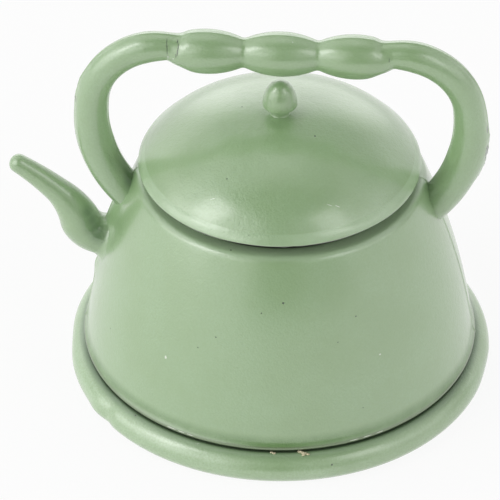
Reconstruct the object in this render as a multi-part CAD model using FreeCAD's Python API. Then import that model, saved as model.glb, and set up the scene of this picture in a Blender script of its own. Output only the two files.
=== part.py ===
import FreeCAD, Part
import math
import os

# Miniature tea kettle, painted casting. Millimetres, +Z up.
# The origin is the centre of the base's flat underside. The spout points along -X,
# and the handle, the spout and the mould's parting plane all lie in the XZ plane.

# Base, a separate thick disc under the kettle
BASE_MARGIN = 1.4
BASE_HEIGHT = 2.95
BASE_TOP_ROUND = 1.8
SPIGOT_HEIGHT = 1.3

# Kettle wall, a slightly bulging cone whose lower lip rolls outwards above the base
WALL = 1.5
WALL_FOOT_RADIUS = 19.0
WALL_FOOT_HEIGHT = 4.9
WALL_TOP_RADIUS = 14.0
WALL_BULGE = 0.6
LIP_FLARE = 0.6
LIP_HEIGHT = 0.5
LIP_INSET = 0.22
LIP_ROLL_BULGE = 0.06
CREVICE_GAP = 0.17
CREVICE_DEPTH = 0.5
SHOULDER_HEIGHT = 22.4
SHOULDER_ROUND = 0.9
DECK = 1.3

# Collar around the mouth, on which the lid rests
COLLAR_LEDGE = 1.9
COLLAR_HEIGHT = 1.2
COLLAR_WALL = 1.1

# Lid with its knob, one casting
LID_LEDGE = 0.2
LID_RISE = 5.88
LID_DOME_MARGIN = 1.31
LID_RIM_HEIGHT = 1.05
LID_RIM_INSET = 0.72
LID_EDGE_ROUND = 0.14
LID_WALL = 1.2
LID_SKIRT_DEPTH = 1.6
LID_SKIRT_WALL = 0.9
NECK_RADIUS = 1.0
NECK_HEIGHT = 1.12
NECK_FLARE = 0.7
KNOB_RADIUS = 1.62
KNOB_HEIGHT = 2.55
KNOB_EDGE_ROUND = 0.12

# Handle, cast with the kettle wall: a grip of beads between two bowed arms.
# Each bend is (radius, angle in degrees), each radius belongs to the joint of two bends.
GRIP_INSET = 3.35
BEAD_COUNT = 3
BEAD_RADIUS = 2.2
BEAD_NECK_RADIUS = 1.38
ARM_OVERLAP = 0.4
ARM_START_RISE = 0.3
ARM_HEADING = 10.1
ARM_BENDS = ((6.3, 25.0), (7.05, 64.3), (13.95, 24.8), (13.95, 20.7), (13.95, 12.0))
ARM_RADII = (1.34, 1.52, 1.55, 1.78, 1.73, 1.72)

# Spout, cast with the kettle wall: a gooseneck that closes in a round tip
SPOUT_ROOT_HEIGHT = 13.43
SPOUT_ROOT_DEPTH = 1.28
SPOUT_ROOT_RUN = 1.5
SPOUT_BENDS = ((5.0, 35.7), (2.6, 35.3), (-8.75, 26.5), (-27.5, 5.1), (-27.5, 5.2))
SPOUT_RADII = (2.06, 2.05, 2.03, 1.3, 1.09, 0.88)
SPOUT_BLEND = 0.8

# Clearances
SPIGOT_CLEARANCE = 0.12
SKIRT_CLEARANCE = 0.15
KNOB_TO_GRIP = 1.01

LIP_RADIUS = WALL_FOOT_RADIUS + LIP_FLARE
BASE_RADIUS = LIP_RADIUS + BASE_MARGIN
COLLAR_RADIUS = WALL_TOP_RADIUS - COLLAR_LEDGE
MOUTH_RADIUS = COLLAR_RADIUS - COLLAR_WALL
LID_RADIUS = WALL_TOP_RADIUS - LID_LEDGE
LID_DOME_SPREAD = LID_RADIUS - LID_RIM_INSET + LID_DOME_MARGIN
SEAT_HEIGHT = SHOULDER_HEIGHT + COLLAR_HEIGHT
KNOB_TOP = SEAT_HEIGHT + LID_RISE + NECK_HEIGHT + KNOB_HEIGHT
GRIP_HEIGHT = KNOB_TOP + KNOB_TO_GRIP + BEAD_RADIUS
GRIP_HALF_LENGTH = WALL_TOP_RADIUS - GRIP_INSET
BEAD_LENGTH = 2 * GRIP_HALF_LENGTH / BEAD_COUNT
ORIGIN = FreeCAD.Vector(0, 0, 0)
X_AXIS = FreeCAD.Vector(1, 0, 0)
Z_AXIS = FreeCAD.Vector(0, 0, 1)


def at(x, z):
    """Point of the XZ plane."""
    return FreeCAD.Vector(x, 0, z)


def line(start, end):
    """Straight edge."""
    return Part.LineSegment(start, end).toShape()


def arc(start, through, end):
    """Round edge through three points."""
    return Part.Arc(start, through, end).toShape()


def bowed(start, end, bulge):
    """Round edge whose middle stands out from the chord by bulge, to the right of the way."""
    way = end - start
    side = FreeCAD.Vector(way.z, 0, -way.x).normalize()
    return arc(start, (start + end) / 2 + side * bulge, end)


def ellipse_part(centre, reach, rise, outer, inner):
    """Edge on an ellipse about centre, between its points at the radii outer and inner."""
    if rise > reach:
        ellipse = Part.Ellipse(centre + at(0, rise), centre + at(reach, 0), centre)
    else:
        ellipse = Part.Ellipse(centre + at(reach, 0), centre + at(0, rise), centre)
    ends = []
    for radius in (outer, inner):
        height = rise * math.sqrt(1 - (radius / reach) ** 2)
        ends.append(ellipse.parameter(centre + at(radius, height)))
    return Part.ArcOfEllipse(ellipse, min(ends), max(ends)).toShape()


def turned(edges, start, axis):
    """Solid of revolution of a closed outline about the axis through start."""
    outline = Part.Wire(Part.__sortEdges__(edges))
    return Part.Face(outline).revolve(start, axis, 360)


def chain(points):
    """Straight edges from point to point."""
    return [line(start, end) for start, end in zip(points, points[1:])]


def round_ring(solid, rounding, radius, height):
    """Round the circular edge about Z that has the given radius and height."""
    for edge in solid.Edges:
        if isinstance(edge.Curve, Part.Circle):
            same_size = abs(edge.Curve.Radius - radius) < 1e-4
            same_height = abs(edge.Curve.Center.z - height) < 1e-4
            if same_size and same_height:
                return solid.makeFillet(rounding, [edge])
    raise ValueError("no such ring")


def bent_path(start, heading, bends):
    """Tangent arcs in the XZ plane. heading is in degrees up from +X, and a bend of positive
    radius turns clockwise. Returns the edges and the stations (point, heading) between them."""
    edges = []
    stations = [(start, heading)]
    for radius, angle in bends:
        clockwise = 1 if radius > 0 else -1
        size = abs(radius)
        side = math.radians(heading - 90 * clockwise)
        centre = start + at(math.cos(side), math.sin(side)) * size
        points = []
        for share in (0.5, 1.0):
            turn = side + math.pi - clockwise * math.radians(angle) * share
            points.append(centre + at(math.cos(turn), math.sin(turn)) * size)
        edges.append(arc(start, points[0], points[1]))
        start = points[1]
        heading -= clockwise * angle
        stations.append((start, heading))
    return edges, stations


def swept(edges, stations, radii):
    """Solid round bar along a path, with its own radius at each station."""
    sweep = Part.BRepOffsetAPI.MakePipeShell(Part.Wire(edges))
    sweep.setFrenetMode(True)
    for (point, heading), radius in zip(stations, radii):
        way = at(math.cos(math.radians(heading)), math.sin(math.radians(heading)))
        sweep.add(Part.Wire([Part.Circle(point, way, radius).toShape()]), False, False)
    sweep.build()
    sweep.makeSolid()
    return sweep.shape()


def wall_side():
    """Bowed outline of the kettle wall, from its foot to the shoulder."""
    foot = at(WALL_FOOT_RADIUS, WALL_FOOT_HEIGHT)
    return bowed(foot, at(WALL_TOP_RADIUS, SHOULDER_HEIGHT), WALL_BULGE)


def wall_radius(height, inset):
    """Radius at a height of the surface that lies inset behind the kettle wall's outside."""
    circle = wall_side().Curve
    drop = height - circle.Center.z
    return circle.Center.x + math.sqrt((circle.Radius - inset) ** 2 - drop ** 2)


def make_base():
    """Thick disc with rounded edges and a spigot that centres the kettle."""
    widest = BASE_HEIGHT - BASE_TOP_ROUND
    shelf = BASE_RADIUS - BASE_TOP_ROUND
    spigot_top = BASE_HEIGHT + SPIGOT_HEIGHT
    spigot = wall_radius(spigot_top, WALL) - SPIGOT_CLEARANCE
    under = at(BASE_RADIUS - widest, 0)
    edge = at(BASE_RADIUS, widest)
    quarter_bow = 1 - math.sqrt(0.5)
    edges = chain([at(0, 0), under])
    edges.append(bowed(under, edge, widest * quarter_bow))
    edges.append(bowed(edge, at(shelf, BASE_HEIGHT), BASE_TOP_ROUND * quarter_bow))
    edges += chain([
        at(shelf, BASE_HEIGHT),
        at(spigot, BASE_HEIGHT),
        at(spigot, spigot_top),
        at(0, spigot_top),
        at(0, 0),
    ])
    return turned(edges, ORIGIN, Z_AXIS)


def make_shell():
    """Kettle form without its inside: lip, bowed wall, shoulder and collar."""
    lip_bottom = at(LIP_RADIUS - LIP_INSET, BASE_HEIGHT + CREVICE_GAP)
    lip_top = at(LIP_RADIUS, lip_bottom.z + LIP_HEIGHT)
    seat = lip_bottom.x - CREVICE_DEPTH
    edges = chain([
        at(0, BASE_HEIGHT),
        at(seat, BASE_HEIGHT),
        at(seat, lip_bottom.z),
        lip_bottom,
        lip_top,
    ])
    edges.append(bowed(lip_top, at(WALL_FOOT_RADIUS, WALL_FOOT_HEIGHT), LIP_ROLL_BULGE))
    edges.append(wall_side())
    edges += chain([
        at(WALL_TOP_RADIUS, SHOULDER_HEIGHT),
        at(COLLAR_RADIUS, SHOULDER_HEIGHT),
        at(COLLAR_RADIUS, SEAT_HEIGHT),
        at(0, SEAT_HEIGHT),
        at(0, BASE_HEIGHT),
    ])
    shell = turned(edges, ORIGIN, Z_AXIS)
    return round_ring(shell, SHOULDER_ROUND, WALL_TOP_RADIUS, SHOULDER_HEIGHT)


def make_inside():
    """Space inside the kettle, open at the base and through the collar."""
    ceiling = SHOULDER_HEIGHT - DECK
    middle = (BASE_HEIGHT + ceiling) / 2
    side = [at(wall_radius(height, WALL), height) for height in (BASE_HEIGHT, middle, ceiling)]
    edges = [line(at(0, BASE_HEIGHT), side[0]), arc(side[0], side[1], side[2])]
    edges += chain([
        side[2],
        at(MOUTH_RADIUS, ceiling),
        at(MOUTH_RADIUS, SEAT_HEIGHT),
        at(0, SEAT_HEIGHT),
        at(0, BASE_HEIGHT),
    ])
    return turned(edges, ORIGIN, Z_AXIS)


def make_grip():
    """Row of beads along X, each bowed out between two narrow necks."""
    edges = []
    for bead in range(BEAD_COUNT):
        start = at(bead * BEAD_LENGTH - GRIP_HALF_LENGTH, GRIP_HEIGHT + BEAD_NECK_RADIUS)
        crown = start + at(BEAD_LENGTH / 2, BEAD_RADIUS - BEAD_NECK_RADIUS)
        edges.append(arc(start, crown, start + at(BEAD_LENGTH, 0)))
    edges += chain([
        at(GRIP_HALF_LENGTH, GRIP_HEIGHT + BEAD_NECK_RADIUS),
        at(GRIP_HALF_LENGTH, GRIP_HEIGHT),
        at(-GRIP_HALF_LENGTH, GRIP_HEIGHT),
        at(-GRIP_HALF_LENGTH, GRIP_HEIGHT + BEAD_NECK_RADIUS),
    ])
    return turned(edges, at(0, GRIP_HEIGHT), X_AXIS)


def make_arm():
    """Arm on the +X side, from the end of the grip down into the kettle's shoulder."""
    start = at(GRIP_HALF_LENGTH - ARM_OVERLAP, GRIP_HEIGHT + ARM_START_RISE)
    edges, stations = bent_path(start, ARM_HEADING, ARM_BENDS)
    return swept(edges, stations, ARM_RADII)


def make_spout():
    """Gooseneck from inside the wall out and up along -X, closed by a round tip."""
    start = at(-wall_radius(SPOUT_ROOT_HEIGHT, SPOUT_ROOT_DEPTH), SPOUT_ROOT_HEIGHT)
    edges, stations = bent_path(start, 180.0, SPOUT_BENDS)
    root = Part.makeCylinder(SPOUT_RADII[0], SPOUT_ROOT_RUN, start, X_AXIS)
    tip = Part.makeSphere(SPOUT_RADII[-1], stations[-1][0])
    return swept(edges, stations, SPOUT_RADII).fuse([root, tip])


def blend_spout(body):
    """Round the edge where the spout leaves the wall."""
    root = []
    for edge in body.Edges:
        if edge.Degenerated:
            continue
        points = edge.discretize(5)
        strays = [math.hypot(p.x, p.y) - wall_radius(p.z, 0) for p in points]
        on_wall = max(map(abs, strays)) < 0.01
        near_spout = points[2].x < 0 and abs(points[2].z - SPOUT_ROOT_HEIGHT) < SPOUT_RADII[0]
        if on_wall and near_spout:
            root.append(edge)
    return body.makeFillet(SPOUT_BLEND, root)


def make_kettle_body():
    """Wall, shoulder, collar, spout and handle, cast in one piece and hollow inside."""
    arm = make_arm()
    other_arm = arm.mirror(ORIGIN, X_AXIS)
    body = blend_spout(make_shell().fuse(make_spout()))
    return body.fuse([make_grip(), arm, other_arm]).cut(make_inside())


def make_lid():
    """Domed lid with a steeper rim, a skirt that drops into the mouth, and an acorn knob."""
    rim = at(LID_RADIUS - LID_RIM_INSET, SEAT_HEIGHT + LID_RIM_HEIGHT)
    apex = SEAT_HEIGHT + LID_RISE
    narrowing = math.sqrt(1 - (rim.x / LID_DOME_SPREAD) ** 2)
    dome_rise = (apex - rim.z) / (1 - narrowing)
    centre = at(0, apex - dome_rise)
    skirt_outer = MOUTH_RADIUS - SKIRT_CLEARANCE
    skirt_inner = skirt_outer - LID_SKIRT_WALL
    skirt_bottom = SEAT_HEIGHT - LID_SKIRT_DEPTH
    inner_spread = LID_DOME_SPREAD - LID_WALL
    inner_rise = dome_rise - LID_WALL
    hollow_side = centre.z + inner_rise * math.sqrt(1 - (skirt_inner / inner_spread) ** 2)
    neck_foot = centre.z + dome_rise * math.sqrt(1 - (NECK_RADIUS / LID_DOME_SPREAD) ** 2)
    neck_top = apex + NECK_HEIGHT
    edges = chain([
        at(skirt_inner, hollow_side),
        at(skirt_inner, skirt_bottom),
        at(skirt_outer, skirt_bottom),
        at(skirt_outer, SEAT_HEIGHT),
        at(LID_RADIUS, SEAT_HEIGHT),
        rim,
    ])
    edges.append(ellipse_part(centre, LID_DOME_SPREAD, dome_rise, rim.x, NECK_RADIUS))
    edges += chain([
        at(NECK_RADIUS, neck_foot),
        at(NECK_RADIUS, neck_top),
        at(KNOB_RADIUS, neck_top),
    ])
    edges.append(ellipse_part(at(0, neck_top), KNOB_RADIUS, KNOB_HEIGHT, KNOB_RADIUS, 0))
    edges.append(line(at(0, KNOB_TOP), at(0, centre.z + inner_rise)))
    edges.append(ellipse_part(centre, inner_spread, inner_rise, skirt_inner, 0))
    lid = turned(edges, ORIGIN, Z_AXIS)
    lid = round_ring(lid, LID_EDGE_ROUND, LID_RADIUS, SEAT_HEIGHT)
    lid = round_ring(lid, NECK_FLARE, NECK_RADIUS, neck_foot)
    return round_ring(lid, KNOB_EDGE_ROUND, KNOB_RADIUS, neck_top)


def main():
    """Write one file per piece."""
    os.makedirs("parts", exist_ok=True)
    make_base().exportStep("parts/base.step")
    make_kettle_body().exportStep("parts/kettle_body.step")
    make_lid().exportStep("parts/lid.step")


main()
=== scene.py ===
import math
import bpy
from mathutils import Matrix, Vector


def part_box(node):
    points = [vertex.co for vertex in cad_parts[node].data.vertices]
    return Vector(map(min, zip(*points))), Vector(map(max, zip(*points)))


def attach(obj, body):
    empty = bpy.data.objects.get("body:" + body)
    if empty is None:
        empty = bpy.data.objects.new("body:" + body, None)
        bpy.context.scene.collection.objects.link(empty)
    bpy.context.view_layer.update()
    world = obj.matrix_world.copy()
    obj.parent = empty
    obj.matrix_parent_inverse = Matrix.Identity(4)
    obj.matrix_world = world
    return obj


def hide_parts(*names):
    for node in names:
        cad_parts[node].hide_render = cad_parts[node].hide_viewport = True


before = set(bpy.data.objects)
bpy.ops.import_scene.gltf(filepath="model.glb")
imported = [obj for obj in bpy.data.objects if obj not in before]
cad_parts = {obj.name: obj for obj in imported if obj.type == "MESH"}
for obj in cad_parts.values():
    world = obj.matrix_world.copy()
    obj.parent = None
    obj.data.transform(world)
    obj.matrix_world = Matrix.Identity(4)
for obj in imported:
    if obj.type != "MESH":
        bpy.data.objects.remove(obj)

from types import SimpleNamespace

import bmesh
import bpy
import numpy as np
from bpy.props import FloatProperty, FloatVectorProperty, PointerProperty
from mathutils import Vector

bl_info = {
    "name": "Miniature tea kettle",
    "version": (1, 0, 0),
    "blender": (4, 5, 0),
    "location": "3D View > Sidebar > Kettle",
    "description": "Small cast and painted tea kettle on a thick round base",
    "category": "Add Mesh",
}

MM = 0.001
BASE_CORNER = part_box("base")[1]

# Edges that turn by more than this many degrees are shaded sharp.
SHARP_EDGE = 38

# The one output of a node group that gives a mask.
MASK = (("Mask", "Float", None),)

# Turned outlines stop this far from the axis, where a flat cap closes them, in mm.
CAP_RADIUS = 0.5

# Handle arms: start along X and above the grip's axis in mm, heading in degrees, bends (radius in
# mm, degrees), the bar's radius where the bends meet and the step between points, in mm.
ARM_START = (10.244, 0.297)
ARM_HEADING = 10.15
ARM_BENDS = ((6.287, 25.016), (7.065, 64.294), (13.966, 24.813), (13.966, 34.0))
ARM_RADII = (1.345, 1.529, 1.544, 1.801, 1.745)
ARM_STEP = 0.22

# Grip: where it turns into the arm along X, from where the two lines blend, and its step, in mm.
GRIP_END = 10.8
JOIN_START = 9.7
JOIN_LENGTH = 1.1
GRIP_STEP = 0.16

# Spout: bends, radii and step, given like those of the arms, from the wall outwards.
SPOUT_BENDS = ((2.6, 71.0), (-8.73, 26.56), (-27.5, 5.125), (-27.5, 5.1))
SPOUT_RADII = (2.06, 2.03, 1.31, 1.11, 0.94)
SPOUT_STEP = 0.06

# Swellings of the parting line: lowest and highest height, and over what height each end fades,
# in mm.
SWELL_ABOVE_SPOUT = (13.6, 20.2, 1.4, 1.4)
SWELL_SPOUT_ARM = (29.2, 33.1, 0.9, 0.9)
SWELL_FAR_ARM = (22.6, 29.4, 1.6, 2.2)

# Swelling below the spout: height of its middle and its spread, in mm.
SWELL_BELOW_SPOUT = (10.4, 1.15)

# How far the seam swells on the two arms, in mm, and its spread round the bar, in radians.
SPOUT_ARM_FLASH = 0.1
FAR_ARM_FLASH = 0.18
FLASH_SPREAD = 0.42

# Cut-off gate: place along X, half width and softness in mm, and the facet's tilt in degrees.
GATE = (-10.3, 0.62, 0.1, 62)

# Hollow under each end of the grip: distance from its middle, spread and depth, in mm.
GRIP_HOLLOW = (9.75, 0.85, 0.3)

# Wavy edge of the lid: waves round it, height in mm and start in radians, and one dent at the
# front with its azimuth in degrees, spread in radians, height in mm and waves.
LID_WAVES = ((7, 0.02, 0.6), (13, 0.015, 0))
LID_DENT = (277, 0.09, 0.05, 46)

# Nicks and swellings of the base's edge: azimuth and spread in degrees, and reach in mm.
BASE_NICKS = ((183, 9, -0.2), (213, 3, 0.12), (219, 2, -0.15), (352, 6, -0.1))

# Marks in the paint of each piece, in mm, with painted light and shade.
# Pits, pale marks, glints and spots of painted shade in the corners: place and half extent.
# Bands of painted shade and painted light low on a piece: height up to which a band is full,
# height where it ends, and its colour.
# Rings of painted shade and painted light: radius of the middle, half width up to which a ring
# is full, half width where it ends, share of it that shows at the front, and its colour.
BODY_MARKS = SimpleNamespace(
    pits=(
        ((-5.18, -16.11, 14.34), (0.09, 0.16, 0.07)),
        ((-6.93, -15.9, 12.84), (0.07, 0.16, 0.07)),
        ((-16.02, -8.77, 8.98), (0.09, 0.16, 0.07)),
        ((1.24, -15.55, 18.38), (0.12, 0.16, 0.10)),
        ((-0.83, -15.93, 17.36), (0.06, 0.16, 0.06)),
        ((8.12, -14.22, 16.1), (0.07, 0.16, 0.07)),
        ((6.5, -15.72, 14.03), (0.06, 0.16, 0.06)),
        ((9.04, -16.39, 6.63), (0.06, 0.16, 0.06)),
        ((12.23, -15.23, 3.82), (0.12, 0.20, 0.10)),
        ((-17.43, -1.91, 14.26), (0.09, 0.13, 0.09)),
        ((-3.94, -12.83, 22.4), (0.09, 0.08, 0.09)),
        ((-10.86, -0.85, 37.75), (0.028, 0.5, 0.45)),
        ((-10.8, -1.2, 37.15), (0.03, 0.4, 0.5)),
        ((-9.86, -0.75, 37.95), (0.05, 0.3, 0.25)),
        ((-9.74, -1.1, 37.6), (0.045, 0.3, 0.35)),
        ((-9.8, -1.4, 37.1), (0.045, 0.3, 0.35)),
        ((-9.94, -1.55, 36.75), (0.045, 0.2, 0.22)),
        ((-8.61, -1.24, 38.0), (0.05, 0.08, 0.08)),
        ((-8.78, -1.2, 38.03), (0.05, 0.08, 0.08)),
        ((10.38, -1.3, 37.0), (0.03, 0.2, 0.25)),
        ((-19.86, -0.35, 31.9), (0.3, 0.28, 0.32)),
        ((-19.95, -0.3, 30.4), (0.2, 0.22, 0.5)),
        ((20.02, -0.35, 25.7), (0.3, 0.3, 1.1)),
        ((19.85, -0.3, 28.6), (0.22, 0.2, 0.6)),
        ((-19.3, -1.0, 4.3), (0.3, 0.35, 0.12)),
    ),
    specks_and_glints=(
        ((-10.13, -14.78, 10.53), (0.13, 0.2, 0.17)),
        ((10.5, -14.23, 11.54), (0.11, 0.2, 0.09)),
        ((1.14, -0.72, 38.35), (0.11, 0.11, 0.11)),
        ((-10.72, -1.38, 36.48), (0.09, 0.1, 0.07)),
        ((-10.22, -1.57, 36.41), (0.08, 0.1, 0.07)),
        # Painted glints along the lip's edge, to the left and the right of the front.
        ((-9.5, -17.0, 3.5), (0.5, 0.5, 0.045)),
        ((-8.5, -17.53, 3.5), (0.4, 0.4, 0.045)),
        ((-7.6, -17.93, 3.5), (0.35, 0.4, 0.04)),
        ((8.3, -17.62, 3.5), (0.45, 0.4, 0.04)),
        ((9.5, -17.0, 3.5), (0.5, 0.4, 0.045)),
        ((10.7, -16.28, 3.5), (0.4, 0.4, 0.04)),
    ),
    # Spots of painted shade: in the crotch between the spout and the wall, and under the arm's
    # root.
    corners=(
        ((-17.85, -1.45, 14.9), (1.35, 1.3, 1.5)),
        ((-18.1, -1.4, 15.6), (1.4, 1.25, 1.5)),
        ((-18.45, -1.25, 16.4), (1.3, 1.15, 1.4)),
        ((-18.8, -1.1, 17.2), (1.05, 1.0, 1.3)),
        ((-14.8, -1.0, 21.3), (0.8, 0.9, 1.6)),
        ((-14.75, -0.8, 22.2), (0.7, 0.8, 1.6)),
    ),
    # Bands of painted shade: the foot of the wall, the underside of the lip and the gap above the
    # base.
    bands=((3.9, 5.0, "low_shading"), (3.56, 3.7, "lip"), (3.26, 3.42, "gap")),
    # Rings: painted light on the ledge round the lid, and painted shade in the gap under the lid's
    # rim.
    rings=((13.2, 0.6, 0.95, 1.0, "rim"), (12.0, 0.24, 0.38, 1.0, "gap")),
)
LID_MARKS = SimpleNamespace(
    pits=(
        ((3.47, -3.05, 29.04), (0.11, 0.11, 0.11)),
        ((-3.82, 1.05, 29.16), (0.08, 0.09, 0.08)),
        ((-4.62, -8.29, 27.42), (0.08, 0.08, 0.08)),
        ((-2.21, -13.03, 24.45), (0.08, 0.1, 0.07)),
    ),
    specks_and_glints=(
        # Pale arcs where the softboxes' highlights fall on the lid: a faint scratch and painted
        # highlight.
        ((5.3, -10.15, 26.25), (0.3, 0.03, 0.2)),
        ((6.05, -10.02, 26.02), (0.26, 0.03, 0.2)),
        ((-5.9, -9.9, 26.2), (0.3, 0.03, 0.2)),
    ),
    corners=(),
    # Bands: painted reflection of the floor on the lid's rim, and painted shade at its lowest edge.
    bands=((0.98, 1.1, "painted_lid_sheen"), (0.1, 0.2, "gap")),
    rings=(),
)
BASE_MARKS = SimpleNamespace(
    pits=(
        ((6.26, -19.8, 2.03), (0.09, 0.12, 0.09)),
        ((-13.2, -14.6, 2.9), (0.09, 0.09, 0.12)),
        ((-8.1, -18.0, 2.6), (0.3, 0.12, 0.12)),
    ),
    specks_and_glints=(
        ((-6.7, -18.45, 2.75), (0.4, 0.1, 0.15)),
    ),
    corners=(),
    # Band of painted reflection of the bright floor, paler towards the base's bottom edge.
    bands=((0.25, 0.85, "painted_sheen"),),
    rings=(
        # Rings of painted shade on the base: beside the crevice, at its sides and deep in it.
        (18.9, 0.6, 1.6, 1.0, "crevice"),
        (18.9, 0.62, 1.2, 0.0, "painted_corner_shade"),
        (18.95, 0.4, 0.6, 1.0, "pit"),
    ),
)

# Crumbs of old glue: place and size in mm.
CRUMBS = (
    (3.12, -19.17, 2.99, 0.2), (3.38, -19.25, 2.97, 0.17), (3.6, -19.35, 2.95, 0.2),
    (3.9, -19.4, 2.93, 0.15), (3.45, -19.53, 2.9, 0.13), (0.4, -19.4, 2.96, 0.13),
    (0.62, -19.5, 2.95, 0.15),
)

# Soft light panels: azimuth from the camera's side, positive to the left, and elevation, in
# degrees, and strength.
LEFT_PANELS = (
    (36, 12, 0.9), (72, 12, 1.6), (108, 12, 0.5), (40, 38, 1.0), (80, 38, 1.0), (118, 38, 0.35),
)
RIGHT_PANELS = (
    (-36, 12, 0.3), (-72, 12, 0.8), (-108, 12, 0.55), (-40, 38, 0.45), (-80, 38, 0.65),
    (-118, 38, 0.3),
)
BACK_PANELS = (
    (144, 12, 1.1), (180, 12, 1.8), (-144, 12, 0.85), (160, 38, 0.15), (144, 63, 0.72),
    (-144, 63, 0.48),
)
PANEL_EDGE = math.cos(math.radians(30))
PANEL_CORE = math.cos(math.radians(8))

# Softboxes: place in metres and power in watts.
LEFT_BOX = ((-0.35, -0.17, 0.40), 0.36)
RIGHT_BOX = ((0.31, -0.25, 0.39), 0.2)
BOX_SIZE = (0.18, 0.26)
BOX_TARGET = (0, 0, 0.015)

# Camera, fitted to the outlines of the photograph: place and target in metres, lens in mm.
CAMERA_PLACE = (0.02029, -0.354905, 0.288597)
CAMERA_TARGET = (-0.0029587, -0.0001939, 0.012663)
CAMERA_LENS = 328.39
CAMERA_SENSOR = 36
CAMERA_RANGE = (0.01, 20)

# Floor: half its width in metres, and the colour of its faint flecks.
FLOOR_HALF = 2.0
FLOOR_FLECK = (0.7, 0.7, 0.69, 1)

# Darker grains in the old glue.
CRUMB_SHADE = (0.4, 0.37, 0.22, 1)


def length(label, about, millimetres):
    """Length property, given in millimetres and kept in metres."""
    return FloatProperty(
        name=label, description=about, default=millimetres * MM, precision=5, unit="LENGTH"
    )


def colour(label, about, red, green, blue):
    """Colour property, given by its three display values from 0 to 255."""
    shares = [value / 255 for value in (red, green, blue)]
    linear = [s / 12.92 if s <= 0.04045 else ((s + 0.055) / 1.055) ** 2.4 for s in shares]
    return FloatVectorProperty(
        name=label, description=about, default=linear, size=3, min=0, max=1, subtype="COLOR"
    )


def strength(label, about):
    """Strength of a light, where 1 leaves it as it is."""
    return FloatProperty(name=label, description=about, default=1.0, min=0)


class WallSizes(bpy.types.PropertyGroup):
    foot_radius: length("Foot radius", "Radius of the wall above the lip", 19.17)
    foot_height: length("Foot height", "Height of the wall's foot", 4.3)
    top_radius: length("Top radius", "Radius of the wall at the shoulder", 14.0)
    shoulder: length("Shoulder height", "Height of the ledge under the lid", 22.4)
    bulge: length("Bulge", "How far the wall bows out of its straight line", 0.64)
    front_round: length("Front rounding", "Shoulder rounding on the front half", 0.9)
    back_round: length("Back rounding", "Shoulder rounding on the back half", 1.35)
    lip_radius: length("Lip radius", "Largest radius of the rolled lip", 19.51)
    lip_height: length("Lip height", "Height of the lip's widest place", 3.425)
    lip_round: length("Lip rounding", "Radius of the rolled lower edge", 0.3)
    lip_cove: length("Lip cove", "Hollow between the wall and the lip", 0.046)
    seat: length("Seat height", "Height of the face that rests on the base", 2.95)
    collar_radius: length("Collar radius", "Outer radius of the collar", 12.1)
    collar_top: length("Collar top", "Height on which the lid rests", 23.6)
    thickness: length("Wall thickness", "Thickness of the cast wall", 1.5)
    deck: length("Deck thickness", "Thickness under the shoulder ledge", 1.3)
    mouth: length("Mouth radius", "Inner radius of the collar", 11.0)
    seam: length("Seam height", "How far the parting line stands out", 0.07)
    seam_width: length("Seam width", "Half width of the parting line", 0.1)
    flash_above: length("Flash above spout", "Swelling of the seam above the spout", 0.65)
    flash_below: length("Flash below spout", "Swelling of the seam below the spout", 0.27)
    flash_width: length("Flash width", "Half width of these two swellings", 1.3)


class HandleSizes(bpy.types.PropertyGroup):
    height: length("Grip height", "Height of the grip's axis", 36.325)
    bead_radius: length("Bead radius", "Largest radius of a bead", 2.17)
    neck_radius: length("Neck radius", "Radius between two beads", 1.38)
    bead_length: length("Bead length", "Length of one bead", 7.1)
    seam: length("Seam height", "How far the parting line stands out", 0.06)
    seam_width: length("Seam width", "Half width of the parting line", 0.1)
    offset: length("Half offset", "How much fuller the back half is", 0.04)
    gate: length("Gate depth", "Depth of the cut-off gate's facet", 0.06)


class SpoutSizes(bpy.types.PropertyGroup):
    root: length("Root reach", "Distance of the root from the axis", 17.3)
    height: length("Root height", "Height of the root's axis", 13.88)
    blend_above: length("Upper blend", "Rounding above the root", 0.28)
    blend_below: length("Lower blend", "Rounding below the root", 1.15)


class LidSizes(bpy.types.PropertyGroup):
    radius: length("Radius", "Radius of the lid's edge", 13.76)
    rise: length("Rise", "Height of the dome above the seat", 5.88)
    spread: length("Dome spread", "Half width of the dome's ellipse", 14.39)
    rim_height: length("Rim height", "Height of the steep rim", 1.05)
    rim_inset: length("Rim inset", "How far the rim leans inwards", 0.68)
    rim_bulge: length("Rim bulge", "Roundness of the rim", 0.07)
    edge_round: length("Edge rounding", "Rounding of the lower edge", 0.16)
    wall: length("Wall", "Thickness of the lid", 1.2)
    skirt_radius: length("Skirt radius", "Outer radius of the skirt in the mouth", 10.85)
    skirt_depth: length("Skirt depth", "How far the skirt goes down", 1.6)
    skirt_wall: length("Skirt wall", "Thickness of the skirt", 0.9)
    neck_radius: length("Neck radius", "Radius of the knob's neck", 0.95)
    neck_height: length("Neck height", "Height of the neck above the dome", 0.92)
    neck_flare: length("Neck flare", "Rounding between neck and dome", 0.12)
    knob_radius: length("Knob radius", "Radius of the knob's lower edge", 1.68)
    knob_height: length("Knob height", "Height of the knob", 2.75)
    knob_band: length("Knob band", "Height of the upright edge under the knob", 0.16)
    shift: length("Shift", "How far the lid sits towards the spout", 0.08)


class BaseSizes(bpy.types.PropertyGroup):
    radius: length("Radius", "Radius of the disc", BASE_CORNER.x / MM)
    height: length("Height", "Height of the disc's top face", 2.95)
    top_round: length("Top rounding", "Rounding of the upper edge", 1.8)
    spigot_radius: length("Spigot radius", "Radius of the low centring step", 17.5)
    spigot_top: length("Spigot top", "Height of the step's top", BASE_CORNER.z / MM)


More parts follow.
